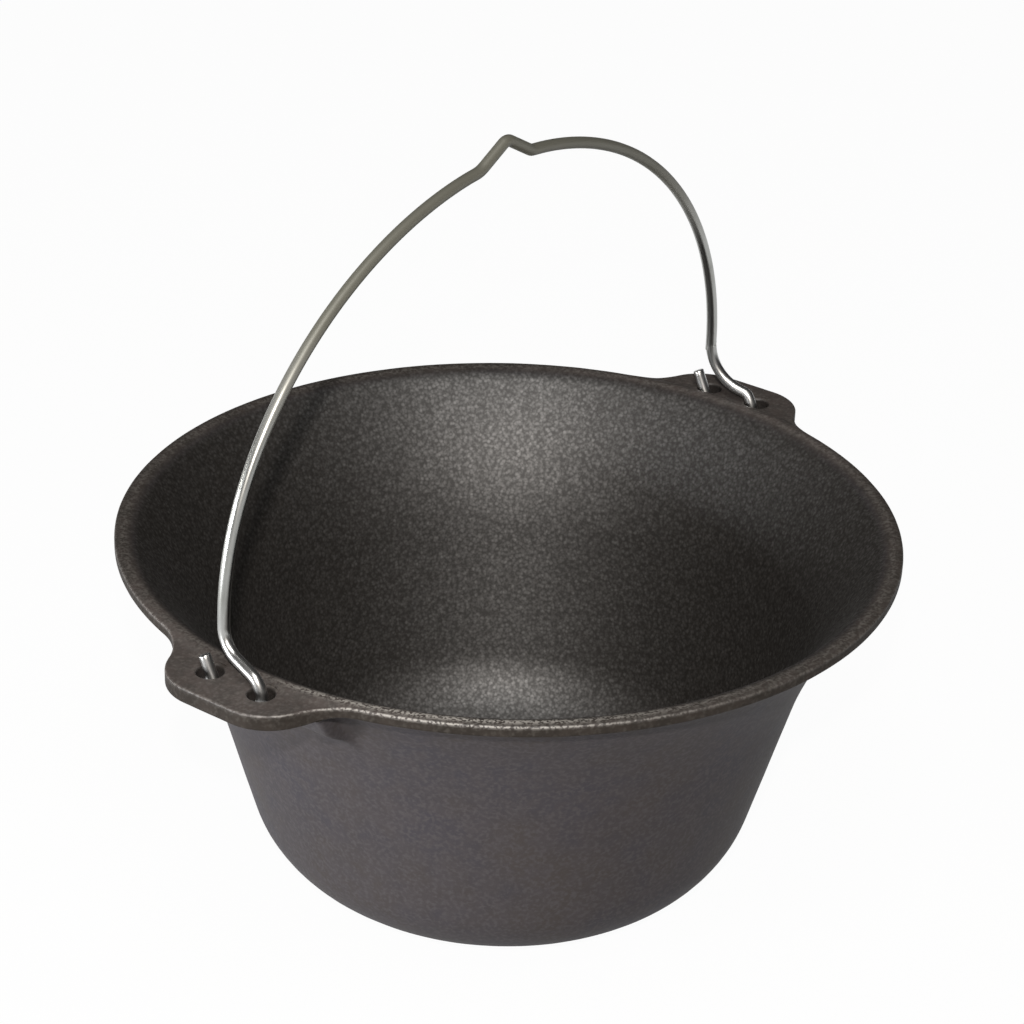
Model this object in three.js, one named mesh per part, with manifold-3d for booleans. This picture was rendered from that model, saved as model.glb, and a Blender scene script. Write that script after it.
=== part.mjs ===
// Cast iron camp pot with a wire bail, for hanging over an open fire.
// Millimetres and degrees, +Z up. The origin is the middle of the flat base, and the two
// lugs lie along X. The pot is one casting: a bowl whose wall leans out and flares to a
// thick rim, with a lug at each end that has two holes. The bail is one bent steel wire.
// Each of its ends comes down beside the rim, crosses the web between a lug's two holes,
// goes down through one hole and comes up through the other, so that the end is a ring
// round the web and the bail swings on it.

import * as THREE from 'three';
import { mergeVertices } from 'three/addons/utils/BufferGeometryUtils.js';
import Module from 'manifold-3d';

// Bowl
const HEIGHT = 161;
const RIM_RADIUS = 165;
const BASE_RADIUS = 63;
const CORNER_RADIUS = 48.5;
const FLARE_OUT = 16;
const FLARE_RADIUS = 156;
const WALL = 4.6;

// Rim band
const RIM_DEPTH = 5.2;
const RIM_OVERHANG = 6;
const RIM_EDGE = 1;
const LIP_ROUND = 2.4;

// Lugs, with the gusset under each
const LUG_LENGTH = 22;
const LUG_HALF_WIDTH = 34;
const LUG_CORNER = 22;
const LUG_ROOT_FILLET = 30;
const LUG_THICKNESS = 6.8;
const LUG_DROP = 1;
const LUG_EDGE = 1;
const HOLE_DIAMETER = 10.6;
const HOLE_OFFSET = 5.8;
const HOLE_SPACING = 26;
const HOLE_CHAMFER = 1;
const GUSSET_HALF_WIDTH = 35.5;
const GUSSET_DEPTH = 30;
const GUSSET_SETBACK = 1.5;
const GUSSET_FACE = 12;
const GUSSET_LEAN = 30;
const GUSSET_EDGE = 1.5;

// Bail wire
const WIRE_DIAMETER = 5;
const LEG_OFFSET = 0.3;
const LEG_SETBACK = 11;
const BAIL_LEAN = 1.3;
const ARCH_RISE = 138.4;
const ARCH_BASE = 21.2;
const NOTCH_HALF_WIDTH = 16.5;
const NOTCH_HEIGHT = 9;
const NOTCH_BEND = 5;
const JOG_HEIGHT = 12.8;
const LEFT_JOG_BEND = 11;
const RIGHT_JOG_BEND = 22;
const HOOK_GAP = 0.4;
const HOOK_BEARING = 46;
const HOOK_SINK = 1;
const HOOK_NECK = 2;
const HOOK_START = 145;
const LEFT_STUB_HEIGHT = 4.8;
const RIGHT_STUB_HEIGHT = 7.8;

// Facets
const ROUND_STEPS = 80;
const PROFILE_STEPS = 3;
const HOLE_STEPS = 20;
const WIRE_SIDES = 12;
const ARCH_STEPS = 20;
const BEND_STEPS = 5;
const HOOK_STEPS = 14;
const CUT_MARGIN = 0.2;

const wasm = await Module();
wasm.setup();

const radians = THREE.MathUtils.degToRad;
const point = (x, y) => new THREE.Vector2(x, y);

// Places that several pieces share
const underRim = HEIGHT - RIM_DEPTH;
const lugMid = HEIGHT - LUG_DROP - LUG_THICKNESS / 2;
const lugReach = RIM_RADIUS + LUG_LENGTH;
const holeX = RIM_RADIUS + HOLE_OFFSET;
const holeRadius = HOLE_DIAMETER / 2;
const wireRadius = WIRE_DIAMETER / 2;

// The straight wall touches the round corner of the base and aims at a point inside the rim.
// The flare then leaves it as an arc and ends under the rim band.
const cornerCentre = point(BASE_RADIUS, CORNER_RADIUS);
const wallEnd = point(RIM_RADIUS - RIM_OVERHANG, underRim);
const aim = point(wallEnd.x - FLARE_OUT, wallEnd.y).sub(cornerCentre);
const wallLean = Math.atan2(aim.x, aim.y) - Math.asin(CORNER_RADIUS / aim.length());
const flareStepOut = FLARE_OUT * Math.cos(wallLean);
const flareRun = Math.sqrt(flareStepOut * (2 * FLARE_RADIUS - flareStepOut));
const rimLean = wallLean + Math.asin(flareRun / FLARE_RADIUS);
const flareCentre = point(
  wallEnd.x + FLARE_RADIUS * Math.cos(rimLean),
  wallEnd.y - FLARE_RADIUS * Math.sin(rimLean),
);

// The hook of the bail is a ring in the play of the two holes. It bears on their edges at an
// angle towards the rim, on the web in the first hole and on the outer side in the second,
// where the stub leans out until it stops the bail and lets it stand by itself.
const play = holeRadius - wireRadius - HOOK_GAP;
const hookX = holeX - play * Math.sin(radians(HOOK_BEARING));
const playY = play * Math.cos(radians(HOOK_BEARING));
const edgeHeight = LUG_THICKNESS / 2 - HOLE_CHAMFER + HOOK_SINK;
const hookRadius = Math.hypot(HOLE_SPACING / 2 - playY, edgeHeight);
const stubY = HOLE_SPACING / 2 + playY;
const stubTilt = Math.acos(hookRadius / Math.hypot(stubY, edgeHeight)) - Math.atan2(edgeHeight, stubY);

// Radius of the flared outer wall at a height
function flareRadiusAt(z) {
  const rise = z - flareCentre.y;
  return flareCentre.x - Math.sqrt(FLARE_RADIUS ** 2 - rise ** 2);
}

// Turns a closed geometry into a solid that can be joined and cut
function solid(geometry) {
  const bare = geometry.clone();
  bare.deleteAttribute('normal');
  bare.deleteAttribute('uv');
  const merged = mergeVertices(bare);
  const corners = merged.index.array;
  const triangles = [];
  for (let i = 0; i < corners.length; i += 3) {
    const [a, b, c] = [corners[i], corners[i + 1], corners[i + 2]];
    if (a !== b && b !== c && c !== a) {
      triangles.push(a, b, c);
    }
  }
  return new wasm.Manifold(new wasm.Mesh({
    numProp: 3,
    vertProperties: new Float32Array(merged.attributes.position.array),
    triVerts: new Uint32Array(triangles),
  }));
}

// Turns a finished solid back into a geometry
function geometryOf(body) {
  const mesh = body.getMesh();
  const geometry = new THREE.BufferGeometry();
  geometry.setAttribute('position', new THREE.BufferAttribute(mesh.vertProperties, 3));
  geometry.setIndex(new THREE.BufferAttribute(mesh.triVerts, 1));
  geometry.computeVertexNormals();
  return geometry;
}

// Turns a profile of radius and height about the Z axis
function revolve(profile, steps) {
  return new THREE.LatheGeometry(profile.getPoints(PROFILE_STEPS), steps).rotateX(Math.PI / 2);
}

// Outside of the bowl with its rim band, closed across the mouth
function bowlOutside() {
  const profile = new THREE.Path();
  profile.moveTo(0, 0);
  profile.lineTo(BASE_RADIUS, 0);
  profile.absarc(cornerCentre.x, cornerCentre.y, CORNER_RADIUS, -Math.PI / 2, -wallLean, false);
  profile.absarc(
    flareCentre.x, flareCentre.y, FLARE_RADIUS, Math.PI - wallLean, Math.PI - rimLean, true);
  profile.lineTo(RIM_RADIUS - RIM_EDGE, underRim);
  profile.quadraticCurveTo(RIM_RADIUS, underRim, RIM_RADIUS, underRim + RIM_EDGE);
  profile.lineTo(RIM_RADIUS, HEIGHT - RIM_EDGE);
  profile.quadraticCurveTo(RIM_RADIUS, HEIGHT, RIM_RADIUS - RIM_EDGE, HEIGHT);
  profile.lineTo(0, HEIGHT);
  return revolve(profile, ROUND_STEPS);
}

// Inside of the bowl, one even casting thickness in from the outside, with a round lip
function bowlInside() {
  const innerCorner = CORNER_RADIUS - WALL;
  const innerFlare = FLARE_RADIUS + WALL;
  const lipLean = Math.asin((HEIGHT - flareCentre.y) / innerFlare);
  const lipEdge = flareCentre.x - innerFlare * Math.cos(lipLean);
  const lipRun = LIP_ROUND * Math.tan((Math.PI / 2 - lipLean) / 2);
  const lipStart = lipLean - lipRun / innerFlare;
  const profile = new THREE.Path();
  profile.moveTo(0, WALL);
  profile.lineTo(BASE_RADIUS, WALL);
  profile.absarc(cornerCentre.x, cornerCentre.y, innerCorner, -Math.PI / 2, -wallLean, false);
  profile.absarc(
    flareCentre.x, flareCentre.y, innerFlare, Math.PI - wallLean, Math.PI - lipStart, true);
  profile.quadraticCurveTo(lipEdge, HEIGHT, lipEdge + lipRun, HEIGHT);
  profile.lineTo(lipEdge + lipRun, HEIGHT + RIM_DEPTH);
  profile.lineTo(0, HEIGHT + RIM_DEPTH);
  return revolve(profile, ROUND_STEPS);
}

// Flat lug whose round corners run into the rim by a hollow fillet at each side. The fillet
// touches the rim circle and the corner circle.
function lugPlate() {
  const corner = point(lugReach - LUG_CORNER, LUG_HALF_WIDTH - LUG_CORNER);
  const toRim = RIM_RADIUS + LUG_ROOT_FILLET;
  const toCorner = LUG_CORNER + LUG_ROOT_FILLET;
  const along = (toRim ** 2 - toCorner ** 2 + corner.lengthSq()) / (2 * corner.length());
  const fillet = point(along, Math.sqrt(toRim ** 2 - along ** 2)).rotateAround(point(0, 0), corner.angle());
  const rimTurn = fillet.angle();
  const meetTurn = fillet.clone().sub(corner).angle();
  const rimSide = fillet.clone().setLength(RIM_RADIUS);
  const root = fillet.clone().setLength(wallEnd.x - 2 * WALL);
  const outline = new THREE.Shape();
  outline.moveTo(root.x, -root.y);
  outline.lineTo(rimSide.x, -rimSide.y);
  outline.absarc(fillet.x, -fillet.y, LUG_ROOT_FILLET, Math.PI - rimTurn, Math.PI - meetTurn, true);
  outline.absarc(corner.x, -corner.y, LUG_CORNER, -meetTurn, 0, false);
  outline.absarc(corner.x, corner.y, LUG_CORNER, 0, meetTurn, false);
  outline.absarc(fillet.x, fillet.y, LUG_ROOT_FILLET, meetTurn - Math.PI, rimTurn - Math.PI, true);
  outline.lineTo(root.x, root.y);
  const plate = new THREE.ExtrudeGeometry(outline, {
    depth: LUG_THICKNESS - 2 * LUG_EDGE,
    bevelThickness: LUG_EDGE,
    bevelSize: LUG_EDGE,
    bevelOffset: -LUG_EDGE,
    bevelSegments: 2,
    curveSegments: PROFILE_STEPS,
  });
  return plate.translate(0, 0, lugMid - LUG_THICKNESS / 2 + LUG_EDGE);
}

// Gusset under a lug: a thicker part of the wall between two radial sides. Its face leans as
// the wall does, and below the nose its underside slopes back into the wall.
function gusset() {
  const lean = Math.tan(radians(GUSSET_LEAN));
  const foot = point(flareRadiusAt(HEIGHT - GUSSET_DEPTH), HEIGHT - GUSSET_DEPTH);
  const faceTop = point(RIM_RADIUS - GUSSET_SETBACK, lugMid - LUG_THICKNESS / 2);
  const nose = point(faceTop.x - GUSSET_FACE * lean, faceTop.y - GUSSET_FACE);
  const slope = (nose.y - foot.y) / (nose.x - foot.x);
  const profile = new THREE.Shape();
  profile.moveTo(nose.x, nose.y);
  profile.lineTo(faceTop.x + (lugMid - faceTop.y) * lean, lugMid);
  profile.lineTo(foot.x - WALL, lugMid);
  profile.lineTo(foot.x - WALL, foot.y - slope * WALL);
  const block = new THREE.ExtrudeGeometry(profile, {
    depth: 2 * (GUSSET_HALF_WIDTH - GUSSET_EDGE),
    bevelThickness: GUSSET_EDGE,
    bevelSize: GUSSET_EDGE,
    bevelOffset: -GUSSET_EDGE,
    bevelSegments: 2,
  });
  block.rotateX(Math.PI / 2).translate(0, GUSSET_HALF_WIDTH - GUSSET_EDGE, 0);
  const corners = block.attributes.position;
  for (let i = 0; i < corners.count; i += 1) {
    corners.setY(i, (corners.getY(i) * corners.getX(i)) / faceTop.x);
  }
  return block;
}

// Cutter for one lug hole, wider at both faces so that the hole's edges are eased
function holeCutter() {
  const half = LUG_THICKNESS / 2;
  const profile = new THREE.Path();
  profile.moveTo(0, -half - CUT_MARGIN);
  profile.lineTo(holeRadius + HOLE_CHAMFER + CUT_MARGIN, -half - CUT_MARGIN);
  profile.lineTo(holeRadius, HOLE_CHAMFER - half);
  profile.lineTo(holeRadius, half - HOLE_CHAMFER);
  profile.lineTo(holeRadius + HOLE_CHAMFER + CUT_MARGIN, half + CUT_MARGIN);
  profile.lineTo(0, half + CUT_MARGIN);
  return revolve(profile, HOLE_STEPS);
}

// The whole casting
function castPot() {
  let body = solid(bowlOutside());
  for (const turn of [0, Math.PI]) {
    body = body.add(solid(lugPlate().rotateZ(turn)));
    body = body.add(solid(gusset().rotateZ(turn)));
  }
  body = body.subtract(solid(bowlInside()));
  for (const x of [-holeX, holeX]) {
    for (const y of [-HOLE_SPACING / 2, HOLE_SPACING / 2]) {
      body = body.subtract(solid(holeCutter().translate(x, y, lugMid)));
    }
  }
  return geometryOf(body);
}

// Points of a round bend where a wire turns a corner
function bend(before, corner, after, radius) {
  const back = before.clone().sub(corner).normalize();
  const ahead = after.clone().sub(corner).normalize();
  const half = back.angleTo(ahead) / 2;
  const inward = back.clone().add(ahead).normalize();
  const centre = corner.clone().addScaledVector(inward, radius / Math.sin(half));
  const arm = corner.clone().addScaledVector(back, radius / Math.tan(half)).sub(centre);
  const axis = ahead.clone().cross(back).normalize();
  const turn = Math.PI - 2 * half;
  return Array.from({ length: BEND_STEPS + 1 }, (_, i) => (
    arm.clone().applyAxisAngle(axis, (turn * i) / BEND_STEPS).add(centre)
  ));
}

// A wire's course, taken exactly through its stations
class WireCourse extends THREE.Curve {
  constructor(stations) {
    super();
    this.stations = stations;
  }

  getPointAt(u) {
    return this.stations[Math.round(u * (this.stations.length - 1))].clone();
  }

  getTangentAt(u) {
    const last = this.stations.length - 1;
    const here = Math.round(u * last);
    const next = this.stations[Math.min(here + 1, last)];
    return next.clone().sub(this.stations[Math.max(here - 1, 0)]).normalize();
  }
}

// A place on the bail's plane, which leans a little from upright
function onBailPlane(x, z) {
  const y = LEG_SETBACK - (z - lugMid) * Math.tan(radians(BAIL_LEAN));
  return new THREE.Vector3(x, y, z);
}

// Stations of the half of the bail at one side, from the notch at the top to the stub's end.
// The wire is bent and cut by hand, so its two ends differ in one bend and in the stub.
function halfBail(side, jogBend, stubHeight) {
  const legX = side * (RIM_RADIUS + LEG_OFFSET);
  const archZ = HEIGHT + ARCH_BASE;
  const onArch = (angle) => onBailPlane(
    legX * Math.sin(angle), archZ + ARCH_RISE * Math.cos(angle));

  const footAngle = Math.asin(NOTCH_HALF_WIDTH / Math.abs(legX));
  const foot = onArch(footAngle);
  const apex = onBailPlane(0, foot.z + NOTCH_HEIGHT);
  const farFoot = onBailPlane(-foot.x, foot.z);
  const archStep = (Math.PI / 2 - footAngle) / ARCH_STEPS;
  const apexBend = bend(farFoot, apex, foot, NOTCH_BEND);
  const footBend = bend(apex, foot, onArch(footAngle + archStep), NOTCH_BEND);
  const arch = Array.from({ length: ARCH_STEPS }, (_, i) => onArch(footAngle + (i + 1) * archStep));

  const onHook = (angle) => new THREE.Vector3(
    side * hookX,
    hookRadius * Math.cos(angle),
    lugMid - HOOK_SINK + hookRadius * Math.sin(angle),
  );
  const hookStart = radians(HOOK_START);
  const hookTop = onHook(hookStart);
  const neck = new THREE.Vector3(0, Math.sin(hookStart), -Math.cos(hookStart));
  const knee = hookTop.clone().addScaledVector(neck, HOOK_NECK);
  const elbow = onBailPlane(legX, lugMid + JOG_HEIGHT);
  const kneeHalf = elbow.clone().sub(knee).angleTo(neck.clone().negate()) / 2;
  const elbowBend = bend(onBailPlane(legX, archZ), elbow, knee, jogBend);
  const kneeBend = bend(elbow, knee, hookTop, HOOK_NECK * Math.tan(kneeHalf));
  const hookStep = (2 * Math.PI - stubTilt - hookStart) / HOOK_STEPS;
  const hook = Array.from({ length: HOOK_STEPS }, (_, i) => onHook(hookStart + (i + 1) * hookStep));

  const stubFoot = hook[HOOK_STEPS - 1];
  const stubTip = stubFoot.clone();
  stubTip.z = lugMid + LUG_THICKNESS / 2 + stubHeight;
  stubTip.y += (stubTip.z - stubFoot.z) * Math.tan(stubTilt);

  const apexHalf = apexBend.slice(Math.floor(BEND_STEPS / 2) + 1);
  return [...apexHalf, ...footBend, ...arch, ...elbowBend, ...kneeBend, ...hook, stubTip];
}

// The whole bail, from the stub at one end to the stub at the other
function wireBail() {
  const left = halfBail(-1, LEFT_JOG_BEND, LEFT_STUB_HEIGHT);
  const right = halfBail(1, RIGHT_JOG_BEND, RIGHT_STUB_HEIGHT);
  const course = new WireCourse([...left.reverse(), ...right]);
  const section = new THREE.Shape().absarc(0, 0, wireRadius, 0, 2 * Math.PI, false);
  return new THREE.ExtrudeGeometry(section, {
    steps: course.stations.length - 1,
    curveSegments: WIRE_SIDES / 2,
    extrudePath: course,
  });
}

const castIron = new THREE.MeshStandardMaterial({ color: 0x3b3836, roughness: 0.7, metalness: 0.5 });
const zincSteel = new THREE.MeshStandardMaterial({ color: 0x9a9d9b, roughness: 0.3, metalness: 1 });

const pot = new THREE.Mesh(castPot(), castIron);
pot.name = 'cast_pot';
const bail = new THREE.Mesh(wireBail(), zincSteel);
bail.name = 'wire_bail';

const campPot = new THREE.Group();
campPot.name = 'camp_pot';
campPot.add(pot, bail);

export default campPot;
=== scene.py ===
# %% [markdown]
# # A cast iron camp pot
#
# This lesson dresses a pot that hangs over an open fire. It is one iron casting with a lug
# at each end, and one bent wire that swings in the lugs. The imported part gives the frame:
# its box and its two bodies stay as they are, and finer meshes stand in for what is seen.

# %% Load the part
import math

import bmesh
import bpy
import numpy as np
from mathutils import Matrix, Vector, noise


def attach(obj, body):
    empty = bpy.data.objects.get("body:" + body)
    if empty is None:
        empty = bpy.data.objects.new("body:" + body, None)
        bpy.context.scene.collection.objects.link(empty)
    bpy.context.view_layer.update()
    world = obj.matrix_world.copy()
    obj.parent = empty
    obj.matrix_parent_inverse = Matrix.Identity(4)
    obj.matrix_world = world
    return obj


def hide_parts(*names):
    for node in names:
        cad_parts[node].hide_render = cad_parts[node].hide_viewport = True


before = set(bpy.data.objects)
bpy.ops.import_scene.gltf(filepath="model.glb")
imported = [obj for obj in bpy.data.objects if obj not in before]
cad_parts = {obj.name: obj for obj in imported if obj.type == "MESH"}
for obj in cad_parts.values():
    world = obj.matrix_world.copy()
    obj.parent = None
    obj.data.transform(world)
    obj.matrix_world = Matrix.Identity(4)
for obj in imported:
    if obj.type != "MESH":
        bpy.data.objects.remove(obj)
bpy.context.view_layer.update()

# %% [markdown]
# ## The shape of the bowl
#
# A founder draws such a bowl as one profile and turns it: a flat base, a round corner, a
# straight wall that leans out, and a flare that ends under a thick rim. The straight wall
# touches the corner's circle, so its lean follows from the sizes. The drawing is in
# millimetres, with the radius across and the height up.

# %% Sizes of the bowl
HEIGHT = 161
RIM_RADIUS = 165
BASE_RADIUS = 63
CORNER_RADIUS = 48.5
FLARE_OUT = 16
FLARE_RADIUS = 156
WALL = 4.6
RIM_DEPTH = 5.2
RIM_OVERHANG = 6

under_rim = HEIGHT - RIM_DEPTH
corner_centre = np.array([BASE_RADIUS, CORNER_RADIUS])
wall_end = np.array([RIM_RADIUS - RIM_OVERHANG, under_rim])
to_flare = wall_end - [FLARE_OUT, 0] - corner_centre
wall_lean = math.atan2(to_flare[0], to_flare[1]) - math.asin(CORNER_RADIUS / math.hypot(*to_flare))
flare_step = FLARE_OUT * math.cos(wall_lean)
flare_run = math.sqrt(flare_step * (2 * FLARE_RADIUS - flare_step))
rim_lean = wall_lean + math.asin(flare_run / FLARE_RADIUS)
flare_centre = wall_end + FLARE_RADIUS * np.array([math.cos(rim_lean), -math.sin(rim_lean)])
print("the wall leans", round(math.degrees(wall_lean), 1), "degrees, the flare ends at",
      round(math.degrees(rim_lean), 1))

# %% [markdown]
# The inside keeps one even thickness from the outside, as castings do so that the iron
# cools evenly. An arc of the outside and the same arc of the inside share a centre. The
# lip is a soft round between the flare and the flat top of the rim. A parabola draws it,
# because it needs only the corner and the two places where it leaves the sides.

# %% Profile of the inside
FLOOR_START = 12
LIP_ROUND = 12


def arc(centre, radius, start, end, steps):
    """Points on a circle from one angle to another, in radians, both ends included."""
    angle = np.linspace(start, end, steps)
    return np.stack([centre[0] + radius * np.cos(angle), centre[1] + radius * np.sin(angle)], 1)


def line(start, end, steps):
    """Even points from one place to another, both ends included."""
    share = np.linspace(0, 1, steps)[:, None]
    return np.asarray(start) * (1 - share) + np.asarray(end) * share


def soft_corner(start, corner, end, steps):
    """A parabola that leaves one side of a corner and joins the other."""
    share = np.linspace(0, 1, steps)[:, None]
    return (1 - share) ** 2 * start + 2 * share * (1 - share) * corner + share ** 2 * end


inner_flare = FLARE_RADIUS + WALL
lip_lean = math.asin((HEIGHT - flare_centre[1]) / inner_flare)
lip_run = LIP_ROUND * math.tan((math.pi / 2 - lip_lean) / 2)
lip_corner = np.array([flare_centre[0] - inner_flare * math.cos(lip_lean), HEIGHT])
lip_end = lip_corner + [lip_run, 0]
bend_end = math.pi - lip_lean + lip_run / inner_flare

inner_floor = line((FLOOR_START, WALL), (BASE_RADIUS, WALL), steps=9)
inner_corner = arc(corner_centre, CORNER_RADIUS - WALL, -math.pi / 2, -wall_lean, steps=24)
inner_bend = arc(flare_centre, inner_flare, math.pi - wall_lean, bend_end, steps=44)
inner_wall = line(inner_corner[-1], inner_bend[0], steps=20)
inner_lip = soft_corner(inner_bend[-1], lip_corner, lip_end, steps=8)
inside = np.concatenate([inner_floor, inner_corner[1:], inner_wall[1:], inner_bend[1:], inner_lip[1:]])
print("inside profile:", len(inside), "points, mouth radius", round(float(lip_corner[0]), 1))

# %% [markdown]
# ## The lugs
#
# Each lug is a flat plate cast on the rim, with two round corners and a hollow fillet where
# each side runs into the rim. Seen from above, the rim and the lugs have one outline, so
# the whole edge can be given as a reach from the pot's axis for every turn from the lug's
# middle. The fillet's circle touches the rim's circle and the corner's circle.

# %% Outline from above
LUG_LENGTH = 22
LUG_HALF_WIDTH = 34
LUG_CORNER = 22
LUG_ROOT_FILLET = 30
LUG_THICKNESS = 6.8
LUG_DROP = 1

lug_reach = RIM_RADIUS + LUG_LENGTH
lug_top = HEIGHT - LUG_DROP
lug_mid = lug_top - LUG_THICKNESS / 2
lug_corner = np.array([lug_reach - LUG_CORNER, LUG_HALF_WIDTH - LUG_CORNER])
to_rim = RIM_RADIUS + LUG_ROOT_FILLET
to_corner = LUG_CORNER + LUG_ROOT_FILLET
away = math.hypot(*lug_corner)
along = (to_rim ** 2 - to_corner ** 2 + away ** 2) / (2 * away)
across = math.sqrt(to_rim ** 2 - along ** 2)
lug_fillet = (lug_corner * along + np.array([-lug_corner[1], lug_corner[0]]) * across) / away
corner_meets = lug_corner + (lug_fillet - lug_corner) * LUG_CORNER / to_corner
flat_ends = math.atan2(lug_corner[1], lug_reach)
corner_ends = math.atan2(corner_meets[1], corner_meets[0])
fillet_ends = math.atan2(lug_fillet[1], lug_fillet[0])


def circle_hits(turn, centre, radius):
    """Where a ray from the axis enters and leaves a circle."""
    middle = np.cos(turn) * centre[0] + np.sin(turn) * centre[1]
    half = np.sqrt(np.maximum(radius ** 2 - centre @ centre + middle ** 2, 0))
    return middle - half, middle + half


def edge_reach(turn):
    """How far the rim or a lug reaches, at a turn of 0 to 90 degrees from the lug's middle."""
    flat = lug_reach / np.cos(np.minimum(turn, fillet_ends))
    rounded = circle_hits(turn, lug_corner, LUG_CORNER)[1]
    hollow = circle_hits(turn, lug_fillet, LUG_ROOT_FILLET)[0]
    return np.select([turn < flat_ends, turn < corner_ends, turn < fillet_ends],
                     [flat, rounded, hollow], RIM_RADIUS)


print("a lug spans", round(2 * math.degrees(fillet_ends), 1), "degrees of the rim")

# %% [markdown]
# Under each lug a gusset carries the load of the full pot into the wall. It is a thicker part of
# the wall between two radial sides: its face leans as the wall does, and its underside slopes back.
# On a casting every inner corner is filled, because a sharp one would crack. Distances make that
# simple: the wall and the gusset each give how far a place lies outside them, and a soft minimum
# of the two fills the corner.

# %% Wall and gusset as distances
GUSSET_HALF_WIDTH = 35.5
GUSSET_DEPTH = 30
GUSSET_SETBACK = 1.5
GUSSET_FACE = 12
GUSSET_LEAN = math.radians(30)
GUSSET_EDGE_ROUND = 3
GUSSET_FILLET = 4

lean_sin, lean_cos = math.sin(wall_lean), math.cos(wall_lean)
wall_starts = corner_centre + CORNER_RADIUS * np.array([lean_cos, -lean_sin])
flare_starts = flare_centre + FLARE_RADIUS * np.array([-lean_cos, lean_sin])


def wall_radius(z):
    """Radius of the outer wall at a height above the round corner."""
    straight = wall_starts[0] + (z - wall_starts[1]) * lean_sin / lean_cos
    rise = np.clip(z - flare_centre[1], 0, FLARE_RADIUS)
    flared = flare_centre[0] - np.sqrt(FLARE_RADIUS ** 2 - rise ** 2)
    return np.where(z < flare_starts[1], straight, flared)


def soft_min(a, b, span):
    """The smaller of two distances, with the corner between them filled over a span."""
    overlap = np.maximum(span - np.abs(a - b), 0)
    return np.minimum(a, b) - overlap ** 2 / (4 * span)


def soft_max(a, b, span):
    """The larger of two distances, with the edge between them rounded over a span."""
    return -soft_min(-a, -b, span)


gusset_foot = np.array([float(wall_radius(HEIGHT - GUSSET_DEPTH)), HEIGHT - GUSSET_DEPTH])
face_top = np.array([RIM_RADIUS - GUSSET_SETBACK, lug_top - LUG_THICKNESS])
gusset_nose = face_top - GUSSET_FACE * np.array([math.tan(GUSSET_LEAN), 1])
gusset_run = gusset_nose - gusset_foot
under_out = np.array([gusset_run[1], -gusset_run[0]]) / math.hypot(*gusset_run)
face_out = np.array([math.cos(GUSSET_LEAN), -math.sin(GUSSET_LEAN)])
gusset_turn = math.atan2(GUSSET_HALF_WIDTH, face_top[0])


def outside_by(radius, turn, z):
    """How far a place lies outside the wall with its gusset."""
    x = radius * np.cos(turn)
    rise = np.clip((z - flare_centre[1]) / FLARE_RADIUS, lean_sin, math.sin(rim_lean))
    wall = (radius - wall_radius(z)) * np.sqrt(1 - rise ** 2)
    face = (x - gusset_nose[0]) * face_out[0] + (z - gusset_nose[1]) * face_out[1]
    under = (x - gusset_nose[0]) * under_out[0] + (z - gusset_nose[1]) * under_out[1]
    front = soft_max(face, under, GUSSET_EDGE_ROUND)
    block = soft_max(front, radius * np.sin(turn - gusset_turn), GUSSET_EDGE_ROUND)
    return soft_min(wall, block, GUSSET_FILLET)


print("the gusset slopes", round(math.degrees(math.atan2(gusset_run[1], gusset_run[0])), 1), "degrees")

# %% [markdown]
# The skin needs it the other way round: the radius at which the distance has a given value. No
# formula gives that, so each search starts just inside the wall and halves its interval until
# nothing is left of it.

# %% Radius at an offset
SEARCH_INSET = 1
SEARCH_SPAN = 60
HALVINGS = 26


def radius_at(offset, turn, z):
    """Radius at which a place lies an offset outside the wall with its gusset."""
    near = wall_radius(z) - SEARCH_INSET
    far = near + SEARCH_SPAN
    for _ in range(HALVINGS):
        middle = (near + far) / 2
        is_out = outside_by(middle, turn, z) > offset
        far = np.where(is_out, middle, far)
        near = np.where(is_out, near, middle)
    return (near + far) / 2


print("the search ends within", SEARCH_SPAN / 2 ** HALVINGS, "mm")

# %% [markdown]
# ## Sweep the casting
#
# A lathe turns the same profile all the way round. Here the profile changes with the turn, so
# the sweep gives bowl, rim, lugs and gussets as one clean skin with real fillets, which joined
# solids would not have. The turns are close together where a gusset's side stands off the wall.

# %% Turns from the middle of a lug
LUG_STEP = 0.4
SIDE_STEP = 0.09
SIDE_FROM = 10.4
SIDE_TO = 14
RIM_FROM = 20
RIM_TURNS = 59

turns = np.radians(np.concatenate([
    np.arange(0, SIDE_FROM, LUG_STEP),
    np.arange(SIDE_FROM, SIDE_TO, SIDE_STEP),
    np.arange(SIDE_TO, RIM_FROM, LUG_STEP),
    np.linspace(RIM_FROM, 90, RIM_TURNS)]))
reach = edge_reach(turns)[:, None]
print(len(turns), "turns in a quarter")

# %% [markdown]
# The top runs level over the rim and eases down by a millimetre onto each lug. The edge of the
# plate is rounded above and below. Each stretch is a band of rows, and a row has one radius and
# one height at every turn.

# %% Top and edge
EDGE_ROUND = 1
EASE_START = 162.5
EASE_RUN = 6
PLATE_EASE = 10


def ease(share):
    """0 below 0, 1 above 1, and smooth between."""
    share = np.clip(share, 0, 1)
    return share * share * (3 - 2 * share)


def shares(steps):
    """Even shares up to 1, without the 0 that the band before ends on."""
    return np.linspace(0, 1, steps)[1:]


def top_height(radius):
    """Height of the rim's top, or of a lug's, at a radius."""
    return HEIGHT - LUG_DROP * ease((radius - EASE_START) / EASE_RUN)


def rows(radius, z):
    """A band of the skin: radius and height for each turn and each row."""
    return np.stack(np.broadcast_arrays(radius, z), -1)


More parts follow.
